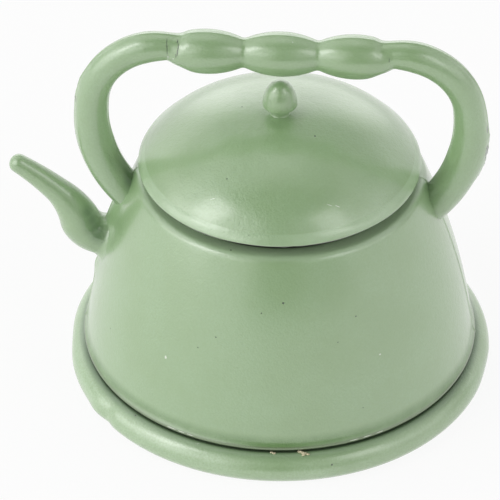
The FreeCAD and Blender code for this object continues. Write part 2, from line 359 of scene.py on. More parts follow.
class PaintLook(bpy.types.PropertyGroup):
    paint: colour("Paint", "Sage green of the body and the lid", 150, 183, 134)
    deep: colour("Deep paint", "Darker, yellower patches of the paint", 141, 174, 120)
    # Lighter copy of the paint: painted light from the floor on the base, and on the ledge under
    # the lid.
    rim: colour("Base paint", "Slightly lighter green of the base and the ledge", 172, 202, 158)
    # Painted reflection of the bright floor on the lid's rim.
    painted_lid_sheen: colour("Lid edge", "Slightly rubbed paint on the lid's rim", 163, 194, 148)
    # Also painted shade deep in the crevice between the body and the base.
    pit: colour("Pit", "Colour inside a pit", 70, 92, 62)
    # Pale dust, and painted glints on the lip's edge.
    pale_speck_and_glint: colour("Speck", "Pale dust and worn edges", 218, 227, 210)
    # Painted shade at the foot of the wall.
    low_shading: colour("Grime", "Olive dirt at the foot of the wall", 98, 140, 70)
    # Painted shade on the underside of the rolled lip.
    lip: colour("Lip dirt", "Greyer, browner dirt on the rolled lip", 102, 126, 80)
    # Painted shade in the narrow gaps under the lid and between the body and the base.
    gap: colour("Gap", "Nearly black dirt in the narrow gaps", 42, 50, 37)
    # Painted shade on the base beside the crevice.
    crevice: colour("Crevice", "Darker green beside the crevice on the base", 128, 160, 114)
    # Painted reflection of the bright floor at the base's lower edge.
    painted_sheen: colour("Worn paint", "Paler rubbed paint at the base's lower edge", 200, 220, 190)
    # Painted shade in the corners of the casting and at the sides of the crevice.
    painted_corner_shade: colour("Corner", "Deep green dirt in the corners of the casting", 96, 132, 84)
    crumb: colour("Crumb", "Old glue and bare metal in the crevice", 238, 230, 196)
    gloss: FloatProperty(
        name="Roughness", description="Mean roughness of the satin paint", default=0.45, min=0.05,
        max=1, subtype="FACTOR",
    )
    grain: length("Grain size", "Width of one grain of the sprayed surface", 0.2)
    grain_depth: length("Grain depth", "Depth of the sprayed surface's grain", 0.055)


class StudioLook(bpy.types.PropertyGroup):
    left: strength("Left side", "Strength of the soft light from the left")
    right: strength("Right side", "Strength of the soft light from the right")
    back: strength("Backdrop", "Strength of the light from behind")
    floor: colour("Floor", "Plain pale floor", 246, 246, 245)


def millimetres(group):
    """The lengths of a property group in millimetres."""
    return SimpleNamespace(**{name: getattr(group, name) / MM for name in group.__annotations__})


def smooth(share):
    """Soft step from 0 to 1."""
    share = np.clip(share, 0, 1)
    return share * share * (3 - 2 * share)


def bell(away, spread):
    """1 where nothing is away, fading to 0 with distance."""
    return np.exp(-(away / spread) ** 2)


def swelling(height, low, high, low_fade, high_fade):
    """1 between two heights and 0 outside them, with a soft change inside each."""
    return smooth((height - low) / low_fade) * smooth((high - height) / high_fade)


def full_turn(count):
    """Even angles round a circle."""
    return np.linspace(0, 2 * math.pi, count, endpoint=False)


def arc_radius(span, bulge):
    """Radius of an arc that stands out from its chord by bulge."""
    return (span ** 2 / 4 + bulge ** 2) / (2 * bulge)


def straight(start, end, count):
    """Points on a line, without its last one."""
    share = np.arange(count)[:, None] / count
    return np.array(start) + (np.array(end) - np.array(start)) * share


def chord(start, end):
    """Middle of a line between two points, its right side, its length and its direction."""
    start, end = np.array(start, float), np.array(end, float)
    way = end - start
    span = np.linalg.norm(way)
    return (start + end) / 2, np.array([way[1], -way[0]]) / span, span, way / span


def bowed(start, end, bulge, count):
    """Points on a shallow arc that stands out to the right of its chord, without the last one."""
    middle, side, span, way = chord(start, end)
    radius = arc_radius(span, bulge)
    share = np.arange(count)[:, None] / count - 0.5
    half = math.asin(span / 2 / radius)
    along = np.sin(share * 2 * half) * radius
    out = np.cos(share * 2 * half) * radius - (radius - bulge)
    return middle + way * along + side * out


def rounded(centre, radius, start, end, count):
    """Points on an arc from one angle in degrees to another, both ends included."""
    turn = np.radians(np.linspace(start, end, count))
    return np.array(centre) + radius * np.stack([np.cos(turn), np.sin(turn)], 1)


def bent_path(start, heading, bends, step):
    """Points along tangent arcs in the XZ plane. A positive radius turns clockwise."""
    point = np.array(start, float)
    points = [point]
    marks = [0]
    for radius, angle in bends:
        hand = 1 if radius > 0 else -1
        size = abs(radius)
        side = math.radians(heading - 90 * hand)
        centre = point + size * np.array([math.cos(side), math.sin(side)])
        count = math.ceil(math.radians(angle) * size / step)
        for number in range(1, count + 1):
            turn = side + math.pi - hand * math.radians(angle) * number / count
            points.append(centre + size * np.array([math.cos(turn), math.sin(turn)]))
        point = points[-1]
        heading -= hand * angle
        marks.append(len(points) - 1)
    return np.array(points), marks


def directions(points):
    """Unit tangents and left normals of a line of points in the plane."""
    way = np.gradient(points, axis=0)
    way /= np.linalg.norm(way, axis=1)[:, None]
    return way, np.stack([-way[:, 1], way[:, 0]], 1)


def lengths_along(points):
    """Distance of each point from the first, along the line."""
    steps = np.linalg.norm(np.diff(points, axis=0), axis=1)
    return np.concatenate([[0], np.cumsum(steps)])


def azimuths(radius):
    """Angles round the axis, closer together at the two parting lines."""
    fine = np.arange(-9, 10) * 0.045 / radius
    angles = np.concatenate([full_turn(360), fine, fine + math.pi]) % (2 * math.pi)
    return np.unique(np.round(angles, 6))


def turned(outline, angles):
    """Rings of an outline of (radius, height) points that is turned round the axis."""
    reach, height = outline[:, 0, None], outline[:, 1, None]
    return np.stack(
        [reach * np.cos(angles), reach * np.sin(angles), height + 0 * angles], axis=2
    )


def ring_solid(rows):
    """Points and faces of a closed form through rings of equally many points."""
    count, around = rows.shape[:2]
    points = np.vstack([rows.reshape(-1, 3), rows[0].mean(0), rows[-1].mean(0)])
    here = np.arange(around)
    after = np.roll(here, -1)
    faces = []
    for row in range(count - 1):
        low, high = row * around, (row + 1) * around
        faces += np.stack([low + here, low + after, high + after, high + here], 1).tolist()
    first, last = count * around, count * around + 1
    faces += np.stack([0 * here + first, after, here], 1).tolist()
    top = (count - 1) * around
    faces += np.stack([0 * here + last, top + here, top + after], 1).tolist()
    return points, faces


def add_form(name, rows):
    """Object with the closed form through the rings, its faces turned outwards."""
    points, faces = ring_solid(rows)
    mesh = bpy.data.meshes.new(name)
    mesh.from_pydata((points * MM).tolist(), [], faces)
    form = bpy.data.objects.new(name, mesh)
    bpy.context.scene.collection.objects.link(form)
    work = bmesh.new()
    work.from_mesh(mesh)
    if work.calc_volume(signed=True) < 0:
        mesh.flip_normals()
    work.free()
    return form


def combine(form, other, operation):
    """Join other to form, or take it out of form, and remove other."""
    modifier = form.modifiers.new("combine", "BOOLEAN")
    modifier.operation = operation
    modifier.solver = "EXACT"
    modifier.object = other
    graph = bpy.context.evaluated_depsgraph_get()
    result = bpy.data.meshes.new_from_object(form.evaluated_get(graph))
    form.modifiers.clear()
    before = form.data
    name = before.name
    form.data = result
    bpy.data.meshes.remove(before)
    result.name = name
    spare = other.data
    bpy.data.objects.remove(other)
    bpy.data.meshes.remove(spare)


def finish_piece(piece, material, nodes):
    """Shade, paint and fix a piece to the kettle."""
    mesh = piece.data
    mesh.polygons.foreach_set("use_smooth", np.ones(len(mesh.polygons), bool))
    mesh.set_sharp_from_angle(angle=math.radians(SHARP_EDGE))
    mesh.materials.clear()
    mesh.materials.append(material)
    if len(mesh.polygons) == 0:
        raise RuntimeError(piece.name + " has no faces")
    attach(piece, "root")
    if nodes:
        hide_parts(*nodes)


def wall_circle(wall):
    """Centre (radius, height) and radius of the arc that the kettle wall follows."""
    foot = (wall.foot_radius, wall.foot_height)
    middle, side, span = chord(foot, (wall.top_radius, wall.shoulder))[:3]
    radius = arc_radius(span, wall.bulge)
    return middle - side * (radius - wall.bulge), radius


def wall_radius(wall, height, inset):
    """Radius of the wall's surface, or of one that lies inset behind it, at a height."""
    centre, radius = wall_circle(wall)
    return centre[0] + np.sqrt((radius - inset) ** 2 - (height - centre[1]) ** 2)


def shell_outline(wall, rounding):
    """Outline of the kettle body without its inside, from the axis and back to it."""
    centre, radius = wall_circle(wall)
    foot = (wall.foot_radius, wall.foot_height)
    low = math.degrees(math.atan2(foot[1] - centre[1], foot[0] - centre[0]))
    lip = (wall.lip_radius - wall.lip_round, wall.lip_height)
    edge = rounded(lip, wall.lip_round, -75, 36, 12)
    seat = edge[0][0] - 0.4
    middle_height = wall.shoulder - rounding
    reach = math.sqrt((radius - rounding) ** 2 - (middle_height - centre[1]) ** 2)
    middle = (centre[0] + reach, middle_height)
    lean = math.degrees(math.atan2(middle[1] - centre[1], middle[0] - centre[0]))
    return np.vstack([
        straight((CAP_RADIUS, wall.seat), (seat, wall.seat), 4),
        straight((seat, wall.seat), (seat, edge[0][1]), 2),
        straight((seat, edge[0][1]), edge[0], 2),
        edge[:-1],
        bowed(edge[-1], foot, -wall.lip_cove, 10),
        rounded(centre, radius, low, lean, 46)[:-1],
        rounded(middle, rounding, lean, 90, 10)[:-1],
        straight((middle[0], wall.shoulder), (wall.collar_radius, wall.shoulder), 6),
        straight((wall.collar_radius, wall.shoulder), (wall.collar_radius, wall.collar_top), 3),
        straight((wall.collar_radius, wall.collar_top), (CAP_RADIUS, wall.collar_top), 4),
        [(CAP_RADIUS, wall.collar_top)],
    ])


def shell_rows(wall):
    """Rings of the kettle body: a crisp front half, a softer back half and a raised seam."""
    angles = azimuths(wall.foot_radius)
    front = shell_outline(wall, wall.front_round)
    back = shell_outline(wall, wall.back_round)
    side = smooth(np.sin(angles) * wall.foot_radius / 0.12 * 0.5 + 0.5)
    rows = turned(front, angles) * (1 - side)[None, :, None]
    rows += turned(back, angles) * side[None, :, None]
    left = directions(front)[1]
    rise = front[:, 1]
    shown = (rise > wall.lip_height) & (front[:, 0] > wall.collar_radius + 0.3)
    off = front[:, 0, None] * np.sin(angles)[None, :]
    lift = np.where(shown, wall.seam, 0.0)[:, None] * bell(off, wall.seam_width)
    above = wall.flash_above * swelling(rise, *SWELL_ABOVE_SPOUT)
    middle, spread = SWELL_BELOW_SPOUT
    below = wall.flash_below * bell(rise - middle, spread)
    on_spout_side = (np.cos(angles) < 0)[None, :]
    swell = np.where(shown, above + below, 0)[:, None] * on_spout_side
    lift = lift + swell * bell(off, wall.flash_width)
    rows[..., 0] -= lift * left[:, 0, None] * np.cos(angles)
    rows[..., 1] -= lift * left[:, 0, None] * np.sin(angles)
    rows[..., 2] -= lift * left[:, 1, None]
    return rows


def inside_rows(wall):
    """Rings of the space inside the kettle, drawn past its two open ends."""
    past = 0.5
    ceiling = wall.shoulder - wall.deck
    top = wall.collar_top + past
    heights = np.linspace(wall.seat - past, ceiling, 14)
    outline = np.vstack([
        [(CAP_RADIUS, heights[0])],
        np.stack([wall_radius(wall, heights, wall.thickness), heights], 1),
        [(wall.mouth, ceiling), (wall.mouth, top), (CAP_RADIUS, top)],
    ])
    return turned(outline, full_turn(120))


def bead_radii(handle, grip):
    """Radius of the grip at each distance from its middle: three beads, then the arm's bar."""
    bulge = handle.bead_radius - handle.neck_radius
    curve = arc_radius(handle.bead_length, bulge)
    half = handle.bead_length / 2
    from_middle = (grip + half) % handle.bead_length - half
    beads = np.sqrt(curve ** 2 - from_middle ** 2) - (curve - handle.bead_radius)
    return np.where(grip > 1.5 * handle.bead_length, ARM_RADII[0], beads)


def arm_line(handle):
    """Centre line and radii of the +X half of the handle, from its middle to the wall."""
    start = (ARM_START[0], handle.height + ARM_START[1])
    arm, marks = bent_path(start, ARM_HEADING, ARM_BENDS, ARM_STEP)
    along = lengths_along(arm)
    arm_radii = np.interp(along, along[marks], ARM_RADII)
    rise = math.tan(math.radians(ARM_HEADING))
    grip = np.arange(0, GRIP_END, GRIP_STEP)
    arm_height = np.where(
        grip < arm[0, 0],
        arm[0, 1] + (grip - arm[0, 0]) * rise,
        np.interp(grip, arm[:40, 0], arm[:40, 1]),
    )
    share = smooth((grip - JOIN_START) / JOIN_LENGTH)
    heights = handle.height * (1 - share) + arm_height * share
    beyond = arm[:, 0] > grip[-1] + 0.1
    beyond[len(beyond) // 2:] = True
    points = np.vstack([np.stack([grip, heights], 1), arm[beyond]])
    return points, np.concatenate([bead_radii(handle, grip), arm_radii[beyond]])


def handle_rows(handle):
    """Rings of the whole handle, from the spout side over the grip to the far side."""
    points, radii = arm_line(handle)
    points = np.vstack([points[:0:-1] * (-1, 1), points])
    radii = np.concatenate([radii[:0:-1], radii])
    kernel = np.array([1, 2, 3, 2, 1]) / 9
    radii[2:-2] = np.convolve(radii, kernel, "valid")
    outward = directions(points)[1]
    for column in (0, 1):
        outward[6:-6, column] = np.convolve(outward[:, column], np.ones(13) / 13, "valid")
    outward /= np.linalg.norm(outward, axis=1)[:, None]
    even = np.linspace(-math.pi, math.pi, 60, endpoint=False)
    fine = np.arange(-7, 8) * 0.03
    under_seam = fine + math.pi - 2 * math.pi * (fine > 0)
    ring = np.unique(np.round(np.concatenate([even, fine, under_seam]), 5))
    reach = radii[:, None] - handle.offset / 2 + 0 * ring
    inner = np.abs(ring) - math.pi
    reach = reach + handle.seam * bell(ring * reach, handle.seam_width)
    reach = reach + 0.3 * handle.seam * bell(inner * reach, handle.seam_width)
    reach = reach + handle.offset * smooth(np.sin(ring) * 12 + 0.5)
    across, height = points[:, 0, None], points[:, 1, None]
    uneven = 0.75 + 0.25 * np.sin(height * 7.3) * np.cos(height * 2.9 + 1)
    spout_arm = swelling(height, *SWELL_SPOUT_ARM) * (across < 0)
    far_arm = swelling(height, *SWELL_FAR_ARM) * (across > 0)
    flash = SPOUT_ARM_FLASH * spout_arm + FAR_ARM_FLASH * far_arm
    reach = reach + flash * bell(ring, FLASH_SPREAD) * uneven
    place, half, soft, tilt = GATE
    at_gate = smooth((half - np.abs(across - place)) / soft)
    facing = np.cos(ring + math.radians(tilt))
    facet = (radii[:, None] - handle.gate) / np.maximum(facing, 0.2)
    reach = reach * (1 - at_gate) + np.minimum(reach, facet) * at_gate
    place, spread, depth = GRIP_HOLLOW
    reach = reach - depth * (bell(np.abs(across) - place, spread) * smooth(-np.cos(ring)))
    rows = np.zeros(reach.shape + (3,))
    rows[..., 0] = across + reach * np.cos(ring) * outward[:, 0, None]
    rows[..., 1] = reach * np.sin(ring)
    rows[..., 2] = height + reach * np.cos(ring) * outward[:, 1, None]
    return rows


def wall_stand(wall, points):
    """Distance of points from the kettle wall, and the wall's normal there."""
    centre, radius = wall_circle(wall)
    reach = np.hypot(points[..., 0], points[..., 1])
    out = np.stack([reach - centre[0], points[..., 2] - centre[1]], -1)
    size = np.linalg.norm(out, axis=-1)
    out = out / size[..., None]
    normal = np.stack([
        out[..., 0] * points[..., 0] / reach, out[..., 0] * points[..., 1] / reach, out[..., 1]
    ], -1)
    return size - radius, normal


def spout_rows(spout, wall):
    """Rings of the gooseneck, from a rounded root on the wall to the round tip."""
    start = (-spout.root, spout.height)
    curve, marks = bent_path(start, 180.0, SPOUT_BENDS, SPOUT_STEP)
    lead = straight((start[0] + 3.0, start[1]), start, 50)
    line = np.vstack([lead, curve])
    along = lengths_along(line)
    places = along[[len(lead) + mark for mark in marks]]
    radii = np.interp(along, places, SPOUT_RADII)
    kernel = np.ones(17) / 17
    radii[8:-8] = np.convolve(radii, kernel, "valid")
    way, left = directions(line)
    ring = full_turn(72)

    def surface(distance, turn):
        x, z, out_x, out_z, radius = (
            np.interp(distance, along, values) for values in (*line.T, *left.T, radii)
        )
        normal = np.stack([np.cos(turn) * out_x, np.sin(turn), np.cos(turn) * out_z], -1)
        middle = np.stack([x, 0 * x, z], -1)
        return middle + radius[..., None] * normal, normal

    lower = 0.5 + 0.5 * np.cos(ring)
    blend = spout.blend_above + (spout.blend_below - spout.blend_above) * lower
    tries = np.linspace(0.5, along[-1] * 0.45, 500)
    grid, grid_normal = surface(tries[:, None] + 0 * ring, ring + 0 * tries[:, None])
    stand = wall_stand(wall, grid + blend[:, None] * grid_normal)[0] - blend
    first = tries[np.argmax(stand > 0, axis=0)]
    start, start_normal = surface(first, ring)
    ball = start + blend[:, None] * start_normal
    wall_normal = wall_stand(wall, ball)[1]
    rows = []
    for share in np.linspace(0.95, 0, 9):
        toward = -wall_normal * share - start_normal * (1 - share)
        toward /= np.linalg.norm(toward, axis=1)[:, None]
        rows.append(ball + blend[:, None] * toward)
    rows.insert(0, rows[0] - 0.75 * wall_normal)
    end = along[-1]
    for share in np.linspace(0, 1, 80)[1:]:
        rows.append(surface(first + (end - first) * share, ring)[0])
    tip = np.array([line[-1, 0], 0, line[-1, 1]])
    ahead = np.array([way[-1, 0], 0, way[-1, 1]])
    last = rows[-1] - tip
    for turn in np.radians([15, 30, 45, 60, 75, 86]):
        rows.append(tip + last * math.cos(turn) + ahead * 0.86 * radii[-1] * math.sin(turn))
    return np.array(rows)


def ellipse_radius_height(centre, reach, rise, radii):
    """Points of an ellipse about a point on the axis, at the given radii."""
    return np.stack([radii, centre + rise * np.sqrt(1 - (radii / reach) ** 2)], 1)


def lid_outline(lid, seat):
    """Outline of the lid, from the axis under the dome, round the rim to the knob's tip."""
    rim_radius = lid.radius - lid.rim_inset
    rim_top = seat + lid.rim_height
    apex = seat + lid.rise
    rise = (apex - rim_top) / (1 - math.sqrt(1 - (rim_radius / lid.spread) ** 2))
    centre = apex - rise
    inner = np.linspace(0.05, lid.skirt_radius - lid.skirt_wall, 16)
    hollow = ellipse_radius_height(centre, lid.spread - lid.wall, rise - lid.wall, inner)
    skirt_bottom = seat - lid.skirt_depth
    edge = lid.edge_round
    lean = math.degrees(math.atan2(lid.rim_inset, lid.rim_height))
    edge_end = rounded((lid.radius - edge, seat + edge), edge, -90, lean - 8, 6)
    flare = lid.neck_radius + lid.neck_flare
    dome_radii = flare + (rim_radius - flare) * np.sin(np.linspace(math.pi / 2, 0, 46))
    dome = ellipse_radius_height(centre, lid.spread, rise, dome_radii)
    knob_foot = apex + lid.neck_height
    flare_height = dome[-1, 1] + lid.neck_flare
    knob_turn = np.linspace(0, math.pi / 2, 20)
    band = knob_foot + lid.knob_band
    knob_edge = 0.8 * lid.knob_band
    knob = np.stack([
        lid.knob_radius * np.cos(knob_turn),
        band + (lid.knob_height - lid.knob_band) * np.sin(knob_turn),
    ], 1)
    knob[-1, 0] = 0.03
    return np.vstack([
        hollow,
        straight((inner[-1], skirt_bottom), (lid.skirt_radius, skirt_bottom), 2),
        straight((lid.skirt_radius, skirt_bottom), (lid.skirt_radius, seat), 2),
        straight((lid.skirt_radius, seat), (lid.radius - edge, seat), 3),
        edge_end,
        bowed(edge_end[-1], (rim_radius, rim_top), lid.rim_bulge, 8)[1:],
        dome,
        rounded((flare, flare_height), lid.neck_flare, 262, 186, 8),
        straight((lid.neck_radius, flare_height), (lid.neck_radius, knob_foot), 2),
        straight((lid.neck_radius, knob_foot), (lid.knob_radius - knob_edge, knob_foot), 3),
        rounded((lid.knob_radius - knob_edge, knob_foot + knob_edge), knob_edge, -90, 0, 6),
        knob[1:],
    ])


def lid_rows(lid, seat):
    """Rings of the lid, its rim a little wavy and the whole set off towards the spout."""
    angles = full_turn(384)
    outline = lid_outline(lid, seat)
    rows = turned(outline, angles)
    near_rim = bell(outline[:, 0] - lid.radius, 0.35)[:, None]
    near_rim = near_rim * (outline[:, 1] > seat - 0.1)[:, None]
    wave = sum(size * np.sin(count * angles + start) for count, size, start in LID_WAVES)
    azimuth, spread, size, count = LID_DENT
    away = angles - math.radians(azimuth)
    wave = wave + size * bell(away, spread) * np.sin(away * count)
    rows[..., 2] += near_rim * wave
    rows[..., 0] -= lid.shift
    return rows


def base_rows(base):
    """Rings of the disc, whose edge is a little out of round."""
    angles = full_turn(384)
    widest = base.height - base.top_round
    outline = np.vstack([
        straight((CAP_RADIUS, 0), (base.radius - widest, 0), 5),
        rounded((base.radius - widest, widest), widest, -90, 0, 12)[:-1],
        rounded((base.radius - base.top_round, widest), base.top_round, 0, 90, 18)[:-1],
        straight((base.radius - base.top_round, base.height), (base.spigot_radius, base.height), 5),
        straight((base.spigot_radius, base.height), (base.spigot_radius, base.spigot_top), 3),
        straight((base.spigot_radius, base.spigot_top), (CAP_RADIUS, base.spigot_top), 4),
        [(CAP_RADIUS, base.spigot_top)],
    ])
    degrees = np.degrees(angles)
    out = sum(size * bell(degrees - middle, spread) for middle, spread, size in BASE_NICKS)
    out = out - 0.03 + 0.02 * np.sin(5 * angles)
    outer = smooth((outline[:, 0] - base.spigot_radius - 1.2) / 1.5)[:, None]
    rows = turned(outline, angles)
    rows[..., 0] += outer * out * np.cos(angles)
    rows[..., 1] += outer * out * np.sin(angles)
    return rows


def feed(tree, socket, value):
    """Link another socket to an input, or give the input a value."""
    if isinstance(value, bpy.types.NodeSocket):
        tree.links.new(value, socket)
    else:
        socket.default_value = value


def give(tree, made, **values):
    """Set a node's settings, and feed its inputs by their names."""
    for name, value in values.items():
        if hasattr(made, name):
            setattr(made, name, value)
        else:
            feed(tree, made.inputs[name.replace("_", " ")], value)
    return made


def node(tree, kind, **values):
    """New shader node, with its settings and what goes into its inputs."""
    return give(tree, tree.nodes.new(kind), **values)


def maths(tree, operation, *values, kind="Math", out=0):
    """Math node between sockets or numbers."""
    made = node(tree, "ShaderNode" + kind, operation=operation)
    for place, value in enumerate(values):
        feed(tree, made.inputs[place], value)
    return made.outputs[out]


def vector_maths(tree, operation, *values, out=0):
    """Math node between vectors. Lengths and products come out as Value."""
    return maths(tree, operation, *values, kind="VectorMath", out=out)


def mixed(tree, amount, first, second):
    """Colour between two colours, which are sockets or values."""
    made = node(tree, "ShaderNodeMix", data_type="RGBA")
    for place, value in ((0, amount), (6, first), (7, second)):
        feed(tree, made.inputs[place], value)
    return made.outputs[2]


def ramp(tree, value, low, high, out_low=0.0, out_high=1.0):
    """Soft change of a value from one range into another."""
    made = node(tree, "ShaderNodeMapRange", interpolation_type="SMOOTHSTEP")
    for place, number in enumerate((value, low, high, out_low, out_high)):
        feed(tree, made.inputs[place], number)
    return made.outputs[0]


def noise(tree, place, scale, detail, roughness=0.5):
    """Noise from 0 to 1 at a place."""
    made = node(
        tree, "ShaderNodeTexNoise", Vector=place, Scale=scale, Detail=detail, Roughness=roughness
    )
    return made.outputs["Fac"]


def new_group(name, inputs, outputs):
    """New node group, its own inputs and outputs, and the place on the object.

    Each of its sockets is given as (name, kind, value).
    """
    group = bpy.data.node_groups.new(name, "ShaderNodeTree")
    for side, names in (("INPUT", inputs), ("OUTPUT", outputs)):
        for label, kind, value in names:
            made = group.interface.new_socket(
                name=label, in_out=side, socket_type="NodeSocket" + kind
            )
            if value is not None:
                made.default_value = value
    entry = group.nodes.new("NodeGroupInput").outputs
    leave = group.nodes.new("NodeGroupOutput").inputs
    return group, entry, leave, group.nodes.new("ShaderNodeTexCoord").outputs["Object"]


def group_node(tree, maker, **values):
    """Node with a shared node group, which its maker builds on first use."""
    shared = bpy.data.node_groups.get(maker.__name__) or maker(maker.__name__)
    return node(tree, "ShaderNodeGroup", node_tree=shared, **values)


def sprayed_paint(name):
    """Sprayed satin paint: fine grain, patches of deeper colour and uneven gloss."""
    group, entry, leave, place = new_group(name, (
        ("Paint", "Color", (0.3, 0.4, 0.25, 1)),
        ("Deep", "Color", (0.25, 0.35, 0.2, 1)),
        ("Grain scale", "Float", 5000.0),
        ("Gloss", "Float", 0.35),
    ), (("Colour", "Color", None), ("Roughness", "Float", None), ("Height", "Float", None)))
    grain = noise(group, place, entry["Grain scale"], 2.0, 0.55)
    fine = noise(group, place, 1500.0, 3.0, 0.6)
    patch = noise(group, place, 150.0, 4.0, 0.55)
    depth = ramp(group, patch, 0.35, 0.7, 0.0, 0.7)
    toned = mixed(group, depth, entry["Paint"], entry["Deep"])
    speckle = ramp(group, grain, 0.3, 0.7, 0.0, 0.5)
    feed(group, leave["Colour"], mixed(group, speckle, toned, entry["Deep"]))
    uneven = maths(group, "MULTIPLY", fine, 0.12)
    smoother = maths(group, "SUBTRACT", entry["Gloss"], 0.06)
    feed(group, leave["Roughness"], maths(group, "ADD", smoother, uneven))
    coarse = maths(group, "MULTIPLY", grain, 0.7)
    height = maths(group, "ADD", coarse, maths(group, "MULTIPLY", fine, 0.9))
    feed(group, leave["Height"], height)
    return group


def blemish(name):
    """Mask of one small mark (a pit, a pale speck, a glint, a spot of painted shade): 1 inside an
    uneven ellipsoid about Centre, 0 outside.
    """
    group, entry, leave, place = new_group(name, (
        ("Centre", "Vector", None), ("Reach", "Vector", None), ("Core", "Float", 0.65),
        ("Ragged", "Float", 0.9),
    ), MASK)
    away = vector_maths(group, "SUBTRACT", place, entry["Centre"])
    scaled = vector_maths(group, "DIVIDE", away, entry["Reach"])
    size = vector_maths(group, "LENGTH", scaled, out="Value")
    shake = maths(group, "SUBTRACT", noise(group, place, 9000.0, 1.0), 0.5)
    shaken = maths(group, "ADD", size, maths(group, "MULTIPLY", shake, entry["Ragged"]))
    feed(group, leave["Mask"], ramp(group, shaken, 1.15, entry["Core"]))
    return group


def ring_shading(name):
    """Mask of a ring near Height, for painted shade and painted light: 1 within Full of its Middle
    radius, 0 beyond Clear.
    """
    group, entry, leave, place = new_group(name, (
        ("Middle", "Float", 0.01), ("Full", "Float", 0.0), ("Clear", "Float", 0.001),
        ("Height", "Float", 0.0), ("Front", "Float", 1.0),
    ), MASK)
    flat = vector_maths(group, "MULTIPLY", place, (1, 1, 0))
    reach = vector_maths(group, "LENGTH", flat, out="Value")
    away = maths(group, "ABSOLUTE", maths(group, "SUBTRACT", reach, entry["Middle"]))
    ring = ramp(group, away, entry["Clear"], entry["Full"])
    split = node(group, "ShaderNodeSeparateXYZ", Vector=place).outputs
    across = maths(group, "ABSOLUTE", maths(group, "DIVIDE", split["X"], reach))
    share = maths(group, "MAXIMUM", ramp(group, across, 0.25, 0.95), entry["Front"])
    above = maths(group, "ABSOLUTE", maths(group, "SUBTRACT", split["Z"], entry["Height"]))
    share = maths(group, "MULTIPLY", share, maths(group, "LESS_THAN", above, 1.5 * MM))
    feed(group, leave["Mask"], maths(group, "MULTIPLY", ring, share))
    return group


def low_shading(name):
    """Mask of a band low on a piece, thicker towards Bottom than at Top; the bands are painted
    shade and painted light.
    """
    heights = (("Bottom", "Float", 0.0), ("Top", "Float", 0.001))
    group, entry, leave, place = new_group(name, heights, MASK)
    height = node(group, "ShaderNodeSeparateXYZ", Vector=place).outputs["Z"]
    settled = ramp(group, height, entry["Top"], entry["Bottom"])
    cover = ramp(group, noise(group, place, 600.0, 3.0), 0.2, 0.7, 0.65, 1.0)
    feed(group, leave["Mask"], maths(group, "MULTIPLY", settled, cover))
    return group


def blemish_mask(tree, faults, core=0.65, ragged=0.9):
    """Joint mask of a row of such marks, full up to the core's share of their reach."""
    total = None
    for centre, reach in faults:
        mask = group_node(
            tree, blemish, Centre=[value * MM for value in centre],
            Reach=[value * MM for value in reach], Core=core, Ragged=ragged,
        ).outputs["Mask"]
        total = mask if total is None else maths(tree, "MAXIMUM", total, mask)
    return total


def new_material(name):
    """New material, its node tree and its shader."""
    material = bpy.data.materials.new(name)
    material.use_nodes = True
    return material, material.node_tree, material.node_tree.nodes["Principled BSDF"]


def painted_metal(name, look, paint, marks, foot=0.0, ledge=0.0, coarse=1.0):
    """Satin painted casting with painted shade and light. Its bands are measured from foot, its
    rings lie at ledge.
    """
    material, tree, shader = new_material(name)
    skin = group_node(
        tree, sprayed_paint, Paint=(*paint, 1), Deep=(*look.deep, 1), Grain_scale=1 / look.grain,
        Gloss=look.gloss,
    ).outputs
    # Bands, rings and corner spots of painted shade and painted light, mixed into the paint.
    painted_shading = []
    for bottom, top, tint in marks.bands:
        made = group_node(tree, low_shading, Bottom=(foot + bottom) * MM, Top=(foot + top) * MM)
        painted_shading.append((made.outputs["Mask"], tint))
    for middle, full, clear, front, tint in marks.rings:
        made = group_node(
            tree, ring_shading, Height=ledge * MM, Front=front, Middle=middle * MM, Full=full * MM,
            Clear=clear * MM,
        )
        painted_shading.append((made.outputs["Mask"], tint))
    if marks.corners:
        # Soft spots of painted shade in the corners of the casting.
        painted_shading.append((blemish_mask(tree, marks.corners, 0.0, 0.1), "painted_corner_shade"))
    pits = blemish_mask(tree, marks.pits)
    # Pits darken the paint; the pale specks include painted glints on the lip.
    tone = skin["Colour"]
    for mask, tint in (*painted_shading, (pits, "pit"), (blemish_mask(tree, marks.specks_and_glints), "pale_speck_and_glint")):
        tone = mixed(tree, mask, tone, (*getattr(look, tint), 1))
    height = maths(tree, "SUBTRACT", skin["Height"], maths(tree, "MULTIPLY", pits, 3.0))
    depth = look.grain_depth * coarse
    bump = node(tree, "ShaderNodeBump", Strength=1.0, Distance=depth, Height=height)
    give(
        tree, shader, Base_Color=tone, Roughness=skin["Roughness"], Normal=bump.outputs["Normal"],
        IOR=1.9, Coat_Weight=1.0, Coat_IOR=1.8, Coat_Roughness=0.2,
    )
    return material


def crumb_material(look):
    """Dull golden glue and bare metal, grainy and partly shining."""
    material, tree, shader = new_material("old_glue")
    place = tree.nodes.new("ShaderNodeTexCoord").outputs["Object"]
    grain = noise(tree, place, 9000.0, 3.0)
    tint = mixed(tree, ramp(tree, grain, 0.35, 0.65), (*look.crumb, 1), CRUMB_SHADE)
    bump = node(tree, "ShaderNodeBump", Strength=1.0, Distance=0.00003, Height=grain)
    give(
        tree, shader, Base_Color=tint, Roughness=ramp(tree, grain, 0.3, 0.7, 0.7, 0.35),
        Normal=bump.outputs["Normal"],
    )
    return material


